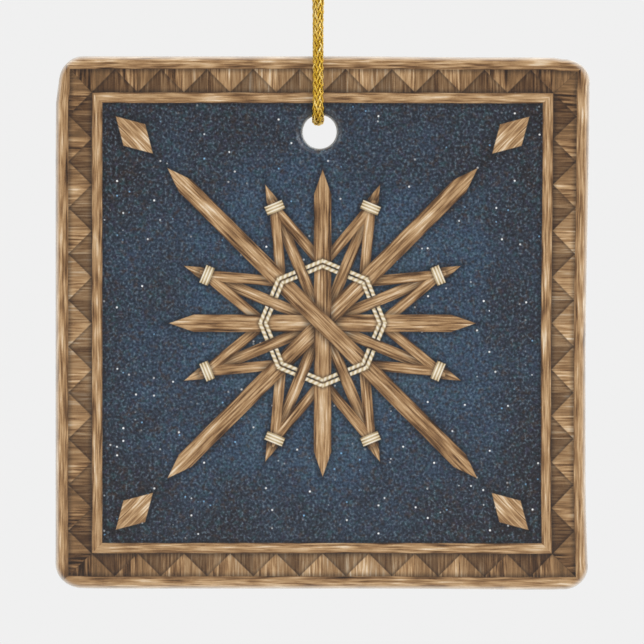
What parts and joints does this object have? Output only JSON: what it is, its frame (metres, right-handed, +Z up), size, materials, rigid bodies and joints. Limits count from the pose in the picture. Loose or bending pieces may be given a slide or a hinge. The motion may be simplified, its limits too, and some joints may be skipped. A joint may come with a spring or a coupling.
{
  "type": "hanging ornament",
  "caption": "Square glazed ceramic hanging ornament with rounded corners and a printed front, hung by a braided gold cord tied in a loop through a hole near its top edge.",
  "frame": {"origin": "middle of the hook, nail or twig that the top of the cord's loop hangs on", "axes": "+Z up along the hanging cord, the printed front faces -Y, +X to the right seen from the front"},
  "size_m": [0.073, 0.0084, 0.1435],
  "materials": {
    "white_glaze": "white gloss glaze",
    "printed_coat": "printed colours under a clear gloss coat",
    "gold_cord": "metallic gold braid"
  },
  "bodies": {
    "hanger": {"cord_top": "gold_cord", "cord_knot": "gold_cord", "cord_tails": "gold_cord"},
    "upper_cord": {"cord_strands": "gold_cord"},
    "lower_cord": {"cord_bend": "gold_cord", "cord_bight": "gold_cord"},
    "tile": {"ceramic_tile": "white_glaze", "printed_face": "printed_coat"}
  },
  "joints": [
    {"name": "cord_twirl", "type": "hinge", "parent": "hanger", "child": "upper_cord", "pos_m": [0, 0, -0.002], "axis": [0, 0, 1], "range_deg": [-180, 180]},
    {"name": "tile_nod", "type": "hinge", "parent": "upper_cord", "child": "lower_cord", "pos_m": [0, 0, -0.0445], "axis": [1, 0, 0], "range_deg": [-40, 40], "deforming": ["cord_bend"]},
    {"name": "tile_sway", "type": "hinge", "parent": "lower_cord", "child": "tile", "pos_m": [0, 0, -0.0603], "axis": [0, 1, 0], "range_deg": [-40, 40]}
  ]
}
